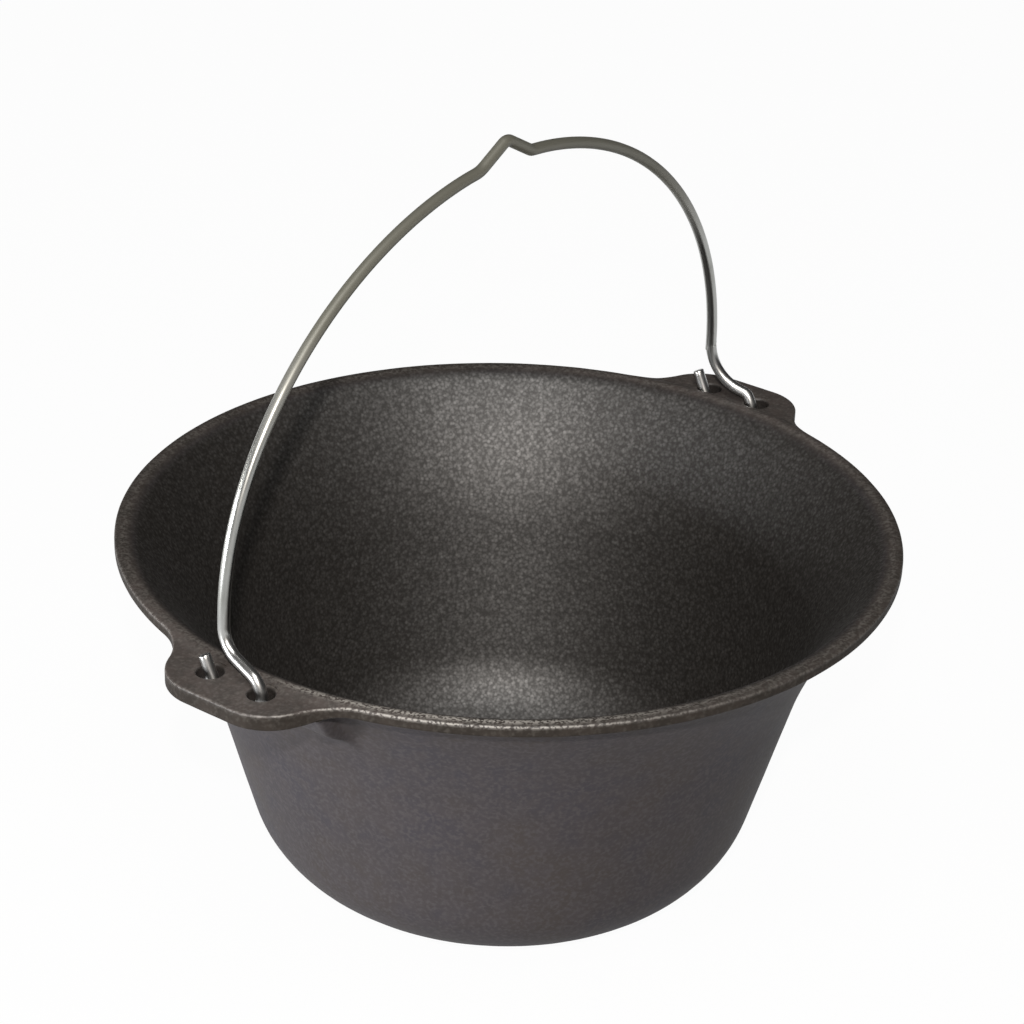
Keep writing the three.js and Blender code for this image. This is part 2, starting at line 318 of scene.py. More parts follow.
edge_start = reach - EDGE_ROUND
top_radius = lip_end[0] + shares(22) * (edge_start - lip_end[0])
top_edge = top_height(edge_start) - EDGE_ROUND
plate_drop = lug_mid - LUG_THICKNESS / 2 - under_rim
plate_under = under_rim + plate_drop * ease((reach - RIM_RADIUS) / PLATE_EASE)
low_edge = plate_under + EDGE_ROUND
edge_turn = np.linspace(math.pi / 2, 0, 7)[1:]
edge_cos, edge_sin = EDGE_ROUND * np.cos(edge_turn), EDGE_ROUND * np.sin(edge_turn)

band_top = rows(top_radius, top_height(top_radius))
band_edge = rows(edge_start + edge_cos, top_edge + edge_sin)
band_side = rows(reach, top_edge + (low_edge - top_edge) * shares(5))
band_low = rows(edge_start + edge_sin, low_edge - edge_cos)
print("top and edge:", sum(band.shape[1] for band in (band_top, band_edge, band_side, band_low)), "rows")

# %% [markdown]
# The underside runs back to the wall and falls into it by a fillet, whose offset from the wall
# shrinks with the depth below the plate. Rows lie close together down to the gusset's foot. From
# there the wall is the same at every turn, down to the round corner and the flat base.

# %% Underside and wall
PLATE_FILLET = 2
FINE_ABOVE = 112

fillet_share = np.linspace(0, 1, 12)
fillet_z = plate_under - PLATE_FILLET * fillet_share ** 2
fillet_radius = radius_at(PLATE_FILLET * (1 - fillet_share) ** 2, turns[:, None], fillet_z)
fine_start = plate_under - PLATE_FILLET
fine_z = fine_start + (FINE_ABOVE - fine_start) * shares(46)
plain_z = np.linspace(FINE_ABOVE, wall_starts[1], 26)[1:]
outer_corner = arc(corner_centre, CORNER_RADIUS, -wall_lean, -math.pi / 2, steps=24)[1:]
outer_base = line((BASE_RADIUS, 0), (FLOOR_START, 0), steps=8)[1:]


def same_all_round(profile):
    """A band that repeats one profile at every turn."""
    return np.tile(profile, (len(turns), 1, 1))


quarter = np.concatenate([
    same_all_round(inside), band_top, band_edge, band_side, band_low,
    rows(edge_start + (fillet_radius[:, :1] - edge_start) * shares(15), plate_under),
    rows(fillet_radius, fillet_z)[:, 1:],
    rows(radius_at(0, turns[:, None], fine_z), fine_z),
    same_all_round(rows(wall_radius(plain_z), plain_z)),
    same_all_round(np.concatenate([outer_corner, outer_base]))], 1)
print("the skin has", quarter.shape[1], "rows at each turn")

# %% [markdown]
# The quarter is mirrored to the full round, and each row becomes a ring. A sand mould is never
# true, so the skin gets a waviness of a tenth of a millimetre or so. It always goes inwards, which
# keeps the casting inside the part's box, and it fades out at the bottom so that the base is flat.

# %% Full skin
WAVE_DEPTH = 0.16
WAVE_GAIN = 0.6
LONG_WAVE = 22
SHORT_WAVE = 6
LONG_SHARE = 0.7
WAVES_FROM = 3

last = len(turns) - 1
there, back = np.arange(last), np.arange(last, 0, -1)
skin = quarter[np.concatenate([there, back, there, back])]
angles = np.concatenate([
    turns[there], math.pi - turns[back], math.pi + turns[there], 2 * math.pi - turns[back]])
ring_cos, ring_sin = np.cos(angles)[:, None], np.sin(angles)[:, None]
points = np.stack([skin[..., 0] * ring_cos, skin[..., 0] * ring_sin, skin[..., 1]], -1)

ring_way = np.roll(points, -1, 0) - np.roll(points, 1, 0)
row_way = np.gradient(points, axis=1)
normal = np.cross(ring_way, row_way)
normal /= np.linalg.norm(normal, axis=2, keepdims=True)
outwards = normal * np.sign(-normal[0, -1, 2])
wave = np.array([
    LONG_SHARE * noise.noise(Vector(p) / LONG_WAVE) + (1 - LONG_SHARE) * noise.noise(Vector(p) / SHORT_WAVE)
    for p in points.reshape(-1, 3)])
depth = WAVE_DEPTH * np.clip(0.5 + WAVE_GAIN * wave, 0, 1).reshape(points.shape[:2])
depth *= np.clip(points[..., 2] / WAVES_FROM, 0, 1)
points = points - outwards * depth[..., None]
print("skin of", points.shape[0] * points.shape[1], "points, waves to", round(float(depth.max()), 2), "mm")

# %% [markdown]
# A mesh takes points and the faces between them. Neighbouring rings are joined by four-sided
# faces, and two flat discs close the middle of the floor and of the base, so the casting is one
# closed shell. Blender works in metres, so the millimetres are turned into metres here, once.

# %% Make the casting
MM = 0.001


def new_piece(name, corners, faces):
    """A mesh object from corners in millimetres and faces of corner numbers."""
    mesh = bpy.data.meshes.new(name)
    mesh.from_pydata((np.asarray(corners) * MM).tolist(), [], faces)
    mesh.validate()
    piece = bpy.data.objects.new(name, mesh)
    bpy.context.scene.collection.objects.link(piece)
    return piece


def ring_faces(rings, per_ring):
    """Faces between neighbouring rings of points, and one on the first and the last ring."""
    here = np.arange(rings - 1)[:, None] * per_ring
    step = np.arange(per_ring)[None]
    beside = (step + 1) % per_ring
    quads = np.stack([here + step, here + beside, here + per_ring + beside, here + per_ring + step], -1)
    first = list(range(per_ring))[::-1]
    end = list(range((rings - 1) * per_ring, rings * per_ring))
    return quads.reshape(-1, 4).tolist() + [first, end]


def face_outwards(piece):
    """Turns all the faces of a closed piece to the outside."""
    shape = bmesh.new()
    shape.from_mesh(piece.data)
    bmesh.ops.recalc_face_normals(shape, faces=shape.faces)
    shape.to_mesh(piece.data)
    shape.free()


by_row = points.transpose(1, 0, 2)
casting = new_piece("pot_casting", by_row.reshape(-1, 3), ring_faces(*by_row.shape[:2]))
face_outwards(casting)
print("casting:", len(casting.data.polygons), "faces")

# %% [markdown]
# ## Drill the lugs
#
# Two holes go through each lug. Their edges are rounded so that the wire doesn't catch, a little
# more here than on the plain solids, because the wire just grazes them at the end of its swing. A
# drill shape is turned from a short profile: it widens at both faces of the lug and ends beyond
# them.

# %% Shape of the drills
HOLE_DIAMETER = 10.6
HOLE_OFFSET = 5.8
HOLE_SPACING = 26
HOLE_ROUND = 1.4
DRILL_SIDES = 56

hole_radius = HOLE_DIAMETER / 2
hole_x = RIM_RADIUS + HOLE_OFFSET
hole_y = HOLE_SPACING / 2
round_turn = np.linspace(0, math.pi / 2, 5)
hole_edge = np.stack([hole_radius + HOLE_ROUND * (1 - np.cos(round_turn)),
                      LUG_THICKNESS / 2 - HOLE_ROUND + HOLE_ROUND * np.sin(round_turn)], 1)
upper_half = np.concatenate([[[hole_edge[-1, 0], LUG_THICKNESS]], hole_edge[::-1]])
drill_profile = np.concatenate([upper_half, upper_half[::-1] * [1, -1]])
drill_angles = np.linspace(0, 2 * math.pi, DRILL_SIDES, endpoint=False)
drill = np.stack([drill_profile[:, :1] * np.cos(drill_angles),
                  drill_profile[:, :1] * np.sin(drill_angles),
                  np.repeat(drill_profile[:, 1:], DRILL_SIDES, 1)], -1).reshape(-1, 3)
drill_faces = ring_faces(len(drill_profile), DRILL_SIDES)

drill_points, all_drill_faces = [], []
for x in (-hole_x, hole_x):
    for y in (-hole_y, hole_y):
        start = len(drill_points) * len(drill)
        drill_points.append(drill + [x, y, lug_mid])
        all_drill_faces += [[start + corner for corner in face] for face in drill_faces]
drills = new_piece("lug_drills", np.concatenate(drill_points), all_drill_faces)
face_outwards(drills)
print("drills:", len(drill_points), "of diameter", HOLE_DIAMETER, "mm")

# %% [markdown]
# A boolean takes the drills away from the casting. The modifier's result is kept as the mesh and
# the drills are thrown away, so that later marks land on the final points. Edges sharper than an
# angle stay crisp, and all others are shaded as round.

# %% Cut the holes
CASTING_CRISP = math.radians(38)

cut = casting.modifiers.new("lug_holes", "BOOLEAN")
cut.operation = "DIFFERENCE"
cut.solver = "EXACT"
cut.object = drills
drilled = bpy.data.meshes.new_from_object(casting.evaluated_get(bpy.context.evaluated_depsgraph_get()))
casting.modifiers.clear()
casting.data = drilled
casting.data.name = "pot_casting"
bpy.data.objects.remove(drills)
casting.data.shade_smooth()
casting.data.set_sharp_from_angle(angle=CASTING_CRISP)
print("drilled casting:", len(casting.data.polygons), "faces")

# %% [markdown]
# ## Bend the bail
#
# The bail is drawn steel wire, bent over pegs. An arch rises over the mouth and has a notch in
# the middle for a hook. Its course is a row of places, and every corner in it becomes an arc of
# the peg's radius. The whole bail leans a little from upright, so its arch is drawn on a leaning
# plane.

# %% Arch and notch
LEG_OFFSET = 0.3
LEG_SETBACK = 11
BAIL_LEAN = math.radians(1.3)
ARCH_RISE = 138.4
ARCH_BASE = 21.2
ARCH_GAP = 0.05
NOTCH_HALF_WIDTH = 16.5
NOTCH_HEIGHT = 9
NOTCH_BEND = 5
TOP_STEPS = 25

half_span = RIM_RADIUS + LEG_OFFSET
arch_z = HEIGHT + ARCH_BASE


def unit(v):
    """The same direction at length 1."""
    return v / np.linalg.norm(v)


def bend(before, corner, after, radius, steps=16):
    """Points of the round bend where the wire turns a corner."""
    back, ahead = unit(before - corner), unit(after - corner)
    half = math.acos(float(np.clip(back @ ahead, -1, 1))) / 2
    centre = corner + unit(back + ahead) * radius / math.sin(half)
    arm = corner + back * radius / math.tan(half) - centre
    over = np.cross(unit(np.cross(ahead, back)), arm)
    turn = np.linspace(0, math.pi - 2 * half, steps)[:, None]
    return centre + arm * np.cos(turn) + over * np.sin(turn)


def on_bail_plane(x, z):
    """A place on the plane of the bail, which leans a little from upright."""
    return np.array([x, LEG_SETBACK - (z - lug_mid) * math.tan(BAIL_LEAN), z])


def on_arch(angle):
    """A place on the arch, at an angle from the top."""
    return on_bail_plane(half_span * math.sin(angle), arch_z + ARCH_RISE * math.cos(angle))


foot_angle = math.asin(NOTCH_HALF_WIDTH / half_span)
notch_foot = on_arch(foot_angle)
notch_top = on_bail_plane(0, notch_foot[2] + NOTCH_HEIGHT)
whole_top = bend(notch_foot * [-1, 1, 1], notch_top, notch_foot, NOTCH_BEND, TOP_STEPS)
top_bend = whole_top[TOP_STEPS // 2:]
arch = np.array([on_arch(a) for a in np.linspace(foot_angle + ARCH_GAP, math.pi / 2, 70)])
print("the notch is at", round(float(notch_top[2]), 1), "mm")

# %% [markdown]
# Each leg comes down beside the rim, jogs across the web between the two holes, and ends in a ring
# that goes down one hole and comes up through the other. The ring keeps a small gap to the edges of
# the holes as the solids have them, eased by a millimetre. Its radius and the lean of its free stub
# follow from the holes and that gap.

# %% Ring through the lug
BEARING_RADIUS = 2.5
HOLE_EASE = 1
HOOK_GAP = 0.4
HOOK_BEARING = math.radians(46)
HOOK_SINK = 1
HOOK_NECK = 2
HOOK_START = math.radians(145)
JOG_HEIGHT = 12.8

play = hole_radius - BEARING_RADIUS - HOOK_GAP
hook_x = hole_x - play * math.sin(HOOK_BEARING)
play_y = play * math.cos(HOOK_BEARING)
edge_height = LUG_THICKNESS / 2 - HOLE_EASE + HOOK_SINK
hook_radius = math.hypot(hole_y - play_y, edge_height)
stub_y = hole_y + play_y
stub_tilt = math.acos(hook_radius / math.hypot(stub_y, edge_height)) - math.atan2(edge_height, stub_y)


def on_hook(angle):
    """A place on the ring at the end of the bail, at an angle from the stub's side."""
    hook_z = lug_mid - HOOK_SINK + hook_radius * math.sin(angle)
    return np.array([hook_x, hook_radius * math.cos(angle), hook_z])


hook_top = on_hook(HOOK_START)
knee = hook_top + HOOK_NECK * np.array([0, math.sin(HOOK_START), -math.cos(HOOK_START)])
elbow = on_bail_plane(half_span, lug_mid + JOG_HEIGHT)
knee_half = math.acos(float(unit(elbow - knee) @ unit(hook_top - knee))) / 2
knee_bend = bend(elbow, knee, hook_top, HOOK_NECK * math.tan(knee_half))
hook = np.array([on_hook(a) for a in np.linspace(HOOK_START, 2 * math.pi - stub_tilt, 44)[1:]])
print("ring of radius", round(hook_radius, 1), "mm, stub leans", round(math.degrees(stub_tilt), 1), "degrees")

# %% [markdown]
# The wire is bent by hand, so the two halves are not quite alike: the feet of the notch, the jogs
# and the cut lengths of the stubs differ. One function draws half of the course for any of them,
# and the left half is mirrored.

# %% Course of the wire
FOOT_AIM = 0.07
LEFT_FOOT_BEND = 14
RIGHT_FOOT_BEND = 6
LEFT_JOG_BEND = 11
RIGHT_JOG_BEND = 22
LEFT_STUB_HEIGHT = 4.8
RIGHT_STUB_HEIGHT = 7.8


def half_course(foot_radius, jog_radius, stub_height):
    """Course from the notch to one end of the wire, drawn for the side of +X."""
    foot_bend = bend(notch_top, notch_foot, on_arch(foot_angle + FOOT_AIM), foot_radius)
    elbow_bend = bend(on_bail_plane(half_span, arch_z), elbow, knee, jog_radius)
    rise = lug_top + stub_height - hook[-1][2]
    stub = line(hook[-1], hook[-1] + [0, rise * math.tan(stub_tilt), rise], steps=9)[1:]
    return np.concatenate([top_bend, foot_bend, arch, elbow_bend, knee_bend, hook, stub])


left = half_course(LEFT_FOOT_BEND, LEFT_JOG_BEND, LEFT_STUB_HEIGHT) * [-1, 1, 1]
right = half_course(RIGHT_FOOT_BEND, RIGHT_JOG_BEND, RIGHT_STUB_HEIGHT)
course = np.concatenate([left[:0:-1], right])
wire_length = np.linalg.norm(np.diff(course, axis=0), axis=1).sum()
print("wire of", round(float(wire_length)), "mm")

# %% [markdown]
# A curve with a bevel would do for a plain wire, but it stores no place along it. Here a round
# section is carried along the course without twisting. Both ends are sheared off and lightly eased.
# Each point also stores its place on the wire, the direction round it and the length along it, so
# that the finish can run along the wire as the marks of drawing do.

# %% Sweep the wire
WIRE_RADIUS = 2.45
WIRE_SIDES = 28
WIRE_CRISP = math.radians(50)
END_EASE = 0.35
EASE_AT = 0.4
EASE_LEFT = 0.2


def eased_ends(path, radius):
    """A path with two more places near each end, and the wire's radius at every place."""
    ease_in = np.array([EASE_AT, 1.0]) * END_EASE
    start = path[0] + unit(path[1] - path[0]) * ease_in[:, None]
    end = path[-1] + unit(path[-2] - path[-1]) * ease_in[::-1, None]
    path = np.concatenate([path[:1], start, path[1:-1], end, path[-1:]])
    radii = np.full(len(path), radius)
    radii[[0, -1]] -= END_EASE
    radii[[1, -2]] -= END_EASE * EASE_LEFT
    return path, radii


def sweep_wire(name, path, radius):
    """A round wire along a path, with eased ends and its place on the wire stored."""
    path, radii = eased_ends(path, radius)
    tangent = np.gradient(path, axis=0)
    tangent /= np.linalg.norm(tangent, axis=1, keepdims=True)
    sideways = unit(np.cross(tangent[0], [1.0, 0, 0]))
    length = np.concatenate([[0], np.cumsum(np.linalg.norm(np.diff(path, axis=0), axis=1))])
    angle = np.linspace(0, 2 * math.pi, WIRE_SIDES, endpoint=False)
    corners, places = [], []
    for here, way, size, run in zip(path, tangent, radii, length):
        sideways = unit(sideways - (sideways @ way) * way)
        beside = np.cross(way, sideways)
        ring = np.cos(angle)[:, None] * sideways + np.sin(angle)[:, None] * beside
        corners.append(here + size * ring)
        places.append(np.stack([np.cos(angle), np.sin(angle), np.full(WIRE_SIDES, run)], 1))
    piece = new_piece(name, np.concatenate(corners), ring_faces(len(path), WIRE_SIDES))
    store = piece.data.attributes.new("wire_place", "FLOAT_VECTOR", "POINT")
    store.data.foreach_set("vector", np.concatenate(places).astype(np.float32).ravel())
    face_outwards(piece)
    piece.data.shade_smooth()
    piece.data.set_sharp_from_angle(angle=WIRE_CRISP)
    return piece


bail = sweep_wire("bail_wire", course, WIRE_RADIUS)
print("bail:", len(bail.data.polygons), "faces")

# %% [markdown]
# ## Worn iron and painted glints
#
# The oiled skin of the iron is worn off along the lip and the outer edge, and less on the edge of a
# lug. The same light mark is also a painted glint on these rounds, so it is strongest on the front,
# the side towards the camera and its lamp. A hand-painted mask would do, but a number on every point
# that comes from the same formulas as the shape stays right when a size changes.

# %% Worn places and painted glints
GLINT_FRONT = math.radians(-152)
GLINT_SPREAD = math.radians(25)
WEAR_GLINT_LEAST = 0.08
WEAR_GLINT_AT = 3.6
WEAR_GLINT_WIDTH = 1.7
LIP_BELOW = 1.8
LIP_FADE = 0.8
EDGE_WEAR_GLINT = 0.6
LUG_SPARED = math.radians(9)
SPARED_FADE = math.radians(6)
SPARED_SHARE = 0.55

place = np.zeros(len(casting.data.vertices) * 3, np.float32)
casting.data.vertices.foreach_get("co", place)
place_x, place_y, place_z = place.reshape(-1, 3).astype(float).T / MM
radius = np.hypot(place_x, place_y)
turn = np.arctan2(np.abs(place_y), np.abs(place_x))

point_reach = edge_reach(turn)
to_edge = np.hypot(point_reach - radius, top_height(point_reach) - place_z)
lip_band = np.exp(-((radius - lip_corner[0] - WEAR_GLINT_AT) / WEAR_GLINT_WIDTH) ** 2)
lip_band *= ease((place_z - HEIGHT + LIP_BELOW) / LIP_FADE)
# Painted glint: the mark is strongest on the side towards the camera and its lamp.
from_front = np.arctan2(place_y, place_x) - GLINT_FRONT
from_front = (from_front + math.pi) % (2 * math.pi) - math.pi
lit_front = np.exp(-from_front ** 2 / GLINT_SPREAD ** 2)
wear_and_glint = np.maximum(np.exp(-(to_edge / EDGE_WEAR_GLINT) ** 2), lip_band)
wear_and_glint *= WEAR_GLINT_LEAST + (1 - WEAR_GLINT_LEAST) * lit_front
wear_and_glint *= 1 - SPARED_SHARE * ease((LUG_SPARED - turn) / SPARED_FADE)
print("rubbed points:", int((wear_and_glint > 0.3).sum()))

# %% [markdown]
# More numbers say how far a point belongs to the inside, which is coarser and darker, to the brim,
# which is browner, to its upper face, to a lug, which is lighter, and to the walls of the holes, which
# get painted shade. All are stored on the mesh as attributes, which a shader can read by name.

# %% Inside, brim, lugs and holes
INSIDE_BELOW = 0.2
INSIDE_FADE = 2.4
BRIM_DEPTH = 9.5
BRIM_FADE = 2.5
UPPER_DEPTH = 1.2
UPPER_FADE = 0.8
BORE_MARGIN = 0.2
BORE_FADE = 0.6
LUG_FADES = math.radians(40)

corner_rise = np.sqrt(np.maximum(CORNER_RADIUS ** 2 - (CORNER_RADIUS - place_z) ** 2, 0))
outer_wall = np.where(place_z > wall_starts[1], wall_radius(place_z), BASE_RADIUS + corner_rise)
middle_wall = outer_wall - WALL / 2
within = ease((middle_wall - radius) / WALL + 0.5)
within *= ease((HEIGHT - INSIDE_BELOW - place_z) / INSIDE_FADE)
within *= ease((place_z - WALL / 4) / (WALL / 2))
from_hole = np.hypot(np.abs(place_x) - hole_x, np.abs(place_y) - hole_y) - hole_radius
marks = {
    # Worn iron, and painted glints on the side towards the camera.
    "wear_and_glint": wear_and_glint,
    "within": within,
    "brim": ease((place_z - HEIGHT + BRIM_DEPTH) / BRIM_FADE) * (1 - within),
    "upper": ease((place_z - top_height(radius) + UPPER_DEPTH) / UPPER_FADE),
    # The walls of the holes get painted shade.
    "hole_shade": ease(1 - (from_hole - BORE_MARGIN) / BORE_FADE),
    "lug": ease((LUG_FADES - turn) / (LUG_FADES - fillet_ends)),
}
for name, values in marks.items():
    store = casting.data.attributes.new(name, "FLOAT", "POINT")
    store.data.foreach_set("value", values.astype(np.float32))
print("marks:", sorted(marks), "inside points:", int((within > 0.5).sum()))

# %% [markdown]
# ## A way to write shaders
#
# A finish is a sum of many small effects, and it reads best as arithmetic. This class wraps an
# output of a shader node: plus, minus and times add Math nodes, and one method makes any other
# node.

# %% Arithmetic on shader outputs
class Tone:
    """An output of a shader node that takes part in arithmetic as a number does."""

    def __init__(self, socket):
        self.socket = socket

    def node(self, kind, output=0, settings=None, **inputs):
        """Adds a node of any kind, with its settings and inputs, and gives one of its outputs."""
        tree = self.socket.id_data
        made = tree.nodes.new("ShaderNode" + kind)
        for key, value in (settings or {}).items():
            setattr(made, key, value)
        for key, value in inputs.items():
            number = key[1:] if key[0] == "_" else ""
            target = made.inputs[int(number)] if number.isdigit() else made.inputs[key.replace("_", " ")]
            if isinstance(value, Tone):
                tree.links.new(value.socket, target)
            else:
                target.default_value = value
        return Tone(made.outputs[output])

    def also(self, output):
        """Another output of the same node."""
        return Tone(self.socket.node.outputs[output])

    def maths(self, operation, first, second=0.0):
        """Adds a Math node."""
        return self.node("Math", settings={"operation": operation}, _0=first, _1=second)

    def __add__(self, other):
        return self.maths("ADD", self, other)

    def __radd__(self, other):
        return self.maths("ADD", other, self)

    def __sub__(self, other):
        return self.maths("SUBTRACT", self, other)

    def __rsub__(self, other):
        return self.maths("SUBTRACT", other, self)

    def __mul__(self, other):
        return self.maths("MULTIPLY", self, other)

    def __rmul__(self, other):
        return self.maths("MULTIPLY", other, self)

    def between(self, low, high):
        """0 below low, 1 above high, and smooth between."""
        return self.node("MapRange", settings={"interpolation_type": "SMOOTHSTEP"},
                         Value=self, From_Min=low, From_Max=high)

    def mix(self, colour_at_0, colour_at_1):
        """A colour between two, with this value as the share of the second."""
        return self.node("Mix", 2, {"data_type": "RGBA"}, _0=self, _6=colour_at_0, _7=colour_at_1)

    def noise(self, scale, detail, roughness):
        """Soft noise at this place, from 0 to 1, with so many features in a unit of length."""
        return self.node("TexNoise", settings={"noise_dimensions": "3D"}, Vector=self, Scale=scale,
                         Detail=detail, Roughness=roughness)

    def cells(self, scale):
        """Distance to the nearest of points that are scattered about this place."""
        return self.node("TexVoronoi", "Distance", {"feature": "F1"}, Vector=self, Scale=scale)

    def stored(self, name, output="Fac"):
        """A value that is stored on the points of the mesh."""
        return self.node("Attribute", output, {"attribute_name": name})

    def stretched(self, x, y, z):
        """This place with its axes scaled apart."""
        return self.node("VectorMath", settings={"operation": "MULTIPLY"}, _0=self, _1=(x, y, z))


def new_finish(name):
    """A material with its main shader, and a Tone for the place on the object."""
    finish = bpy.data.materials.new(name)
    finish.use_nodes = True
    shader = finish.node_tree.nodes["Principled BSDF"]
    coordinates = finish.node_tree.nodes.new("ShaderNodeTexCoord")
    return finish, shader, Tone(coordinates.outputs["Object"])


def feed(shader, name, tone):
    """Links a Tone to an input of the main shader."""
    tone.socket.id_data.links.new(tone.socket, shader.inputs[name])


print("shader arithmetic is ready")

# %% [markdown]
# ## Iron
#
# The pot comes from a sand mould and is oiled and baked at the works. Close up, its skin is a print
# of the sand. Grain is finer than any mesh, so it is made in the shader. Noise alone gives worm-like
# lines, so the sand is made of cells around scattered points, each with its own shade, and only a
# part of the glint comes from noise. Scales count features in a metre.

# %% Sand of the mould
CLOUD_SCALE = 22
SPOT_SCALE = 130
PIT_SCALE = 62
GRAIN_SCALE = 540
SAND_SCALE = 590

iron, iron_shader, iron_place = new_finish("oiled_iron")
clouds = iron_place.noise(CLOUD_SCALE, detail=3, roughness=0.6)
spots = iron_place.noise(SPOT_SCALE, detail=3, roughness=0.6)
grain = iron_place.noise(GRAIN_SCALE, detail=1, roughness=0.5)
fine_grain = iron_place.noise(2 * GRAIN_SCALE, detail=1, roughness=0.5)
pit = 1 - iron_place.cells(PIT_SCALE).between(0.03, 0.075)
sand = iron_place.cells(SAND_SCALE)
sand_shade = sand.node("SeparateColor", "Red", Color=sand.also("Color"))
proud = 1 - sand.between(0.1, 0.75)
noise_glint = (grain * 0.7 + fine_grain * 0.3).between(0.38, 0.8)
glint = proud * (0.25 + sand_shade * 0.75) * 0.6 + noise_glint * 0.4
print("sand of", SAND_SCALE, "grains in a metre")

# %% [markdown]
# Outside, the iron is a grey with brown clouds. The face of the rim is a dark brown, its top a little
# lighter and the lugs lighter again. The inside is nearly black, and what is seen of it is mostly
# sheen. Iron shows between the grains where the oiled skin is worn off, and the same light colour is
# also a painted glint along the lip and the edge, on the side towards the camera and its lamp. The
# walls of the holes get painted shade. Each colour starts from two tones that change from spot to
# spot, and its grains are lighter.

# %% Colours of the iron
OUTSIDE_GREY = (0.039, 0.0368, 0.0432, 1)
OUTSIDE_BROWN = (0.044, 0.0385, 0.0375, 1)
OUTSIDE_SPOT = (0.047, 0.0425, 0.0455, 1)
OUTSIDE_GRAIN = (0.055, 0.0505, 0.0535, 1)
INSIDE_DARK = (0.0050, 0.0039, 0.0029, 1)
INSIDE_LIGHT = (0.0062, 0.0049, 0.0037, 1)
INSIDE_GRAIN = (0.0090, 0.0074, 0.0059, 1)
FACE_TONES = ((0.0185, 0.0156, 0.0131, 1), (0.0255, 0.0211, 0.018, 1), (0.036, 0.032, 0.028, 1))
TOP_TONES = ((0.024, 0.0208, 0.018, 1), (0.031, 0.0257, 0.0228, 1), (0.046, 0.041, 0.036, 1))
LUG_TONES = ((0.040, 0.035, 0.032, 1), (0.050, 0.0415, 0.038, 1), (0.064, 0.0565, 0.051, 1))
PIT_DARK = (0.010, 0.008, 0.007, 1)
# Painted shade for the walls of the holes.
PAINTED_HOLE_SHADE = (0.012, 0.011, 0.011, 1)
# Colour of worn iron, also used as a painted glint.
BARE_IRON_AND_GLINT = (0.36, 0.345, 0.32, 1)


def brown_skin(dark, light, grains):
    """A brown that goes from dark to light by spots, with lighter grains."""
    return grain.between(0.45, 0.8).mix(spots.between(0.35, 0.65).mix(dark, light), grains)


is_within = iron_place.stored("within")
outside_colour = clouds.between(0.36, 0.64).mix(OUTSIDE_GREY, OUTSIDE_BROWN)
outside_colour = spots.between(0.35, 0.75).mix(outside_colour, OUTSIDE_SPOT)
outside_colour = grain.between(0.40, 0.75).mix(outside_colour, OUTSIDE_GRAIN)
inside_colour = clouds.between(0.3, 0.7).mix(INSIDE_DARK, INSIDE_LIGHT)
inside_colour = grain.between(0.4, 0.75).mix(inside_colour, INSIDE_GRAIN)
is_brim = iron_place.stored("brim")
is_upper = iron_place.stored("upper")
top_colour = iron_place.stored("lug").mix(brown_skin(*TOP_TONES), brown_skin(*LUG_TONES))
brim_colour = is_upper.mix(brown_skin(*FACE_TONES), top_colour)
iron_colour = is_within.mix(is_brim.mix(outside_colour, brim_colour), inside_colour)
iron_colour = (pit * is_within * 0.7).mix(iron_colour, PIT_DARK)
# Painted shade on the walls of the holes.
iron_colour = (iron_place.stored("hole_shade") * 0.6).mix(iron_colour, PAINTED_HOLE_SHADE)
# Worn iron and painted glint share one light colour.
bare_and_glint = iron_place.stored("wear_and_glint") * (grain * 0.5 + fine_grain * 0.5).between(0.42, 0.54)
feed(iron_shader, "Base Color", (bare_and_glint * 0.85).mix(iron_colour, BARE_IRON_AND_GLINT))
print("iron nodes for colour:", len(iron.node_tree.nodes))

# %% [markdown]
# The iron itself is matt. The sheen is baked oil, which is a coat on the shader: thick inside, thinner
# on the top of the rim and almost none outside. Grains that stand proud keep more of it, which gives
# each of them its glint. A low bump does the rest, with small pits on the inside.

# %% Sheen and relief
COAT_LEAST = 0.23
COAT_GLINT = 0.62
COAT_OUTSIDE = 0.04
COAT_TOP = 0.6
COAT_INSIDE = 0.96
BUMP_DEPTH = 0.0001

feed(iron_shader, "Roughness", 0.58 + (spots - 0.5) * 0.1 - bare_and_glint * 0.12)
iron_shader.inputs["Specular IOR Level"].default_value = 0.06
oil = COAT_OUTSIDE + is_brim * is_upper * COAT_TOP + is_within * COAT_INSIDE
feed(iron_shader, "Coat Weight", (COAT_LEAST + glint * COAT_GLINT) * oil)
iron_shader.inputs["Coat Roughness"].default_value = 0.57
iron_shader.inputs["Coat IOR"].default_value = 2.4
relief = (grain - 0.5) * 0.3 + proud * is_within * 0.35 + (fine_grain - 0.5) * 0.15 - pit * is_within * 0.6
feed(iron_shader, "Normal", relief.node("Bump", "Normal", Height=relief, Strength=1.0, Distance=BUMP_DEPTH))
casting.data.materials.clear()
casting.data.materials.append(iron)
print("iron nodes:", len(iron.node_tree.nodes))

# %% [markdown]
# ## Zinc on the wire
#
# The wire is steel with a thin coat of zinc. Drawing leaves fine lines along it, and the place stored
# on the wire has its length squeezed, so that noise is drawn out into lines. The ends are painted
# bright as a highlight and the legs a little less, and the top of the arch is painted dark, olive and
# hardly metallic as the shade of the dim room that it reflects, so the finish also follows the height,
# which is in metres here.

# %% Zinc finish
LEG_FROM, LEG_TO = 0.165, 0.19
ARCH_SHADE_FROM, ARCH_SHADE_TO = 0.235, 0.29
# Painted highlight on the ends, painted shade on the top of the arch.
LIT_END_ZINC = (0.52, 0.52, 0.51, 1)
LEG_ZINC = (0.35, 0.355, 0.34, 1)
DARK_PATCH = (0.20, 0.20, 0.18, 1)
LIGHT_LINE = (0.50, 0.505, 0.49, 1)
SHADED_ARCH_ZINC = (0.105, 0.104, 0.086, 1)

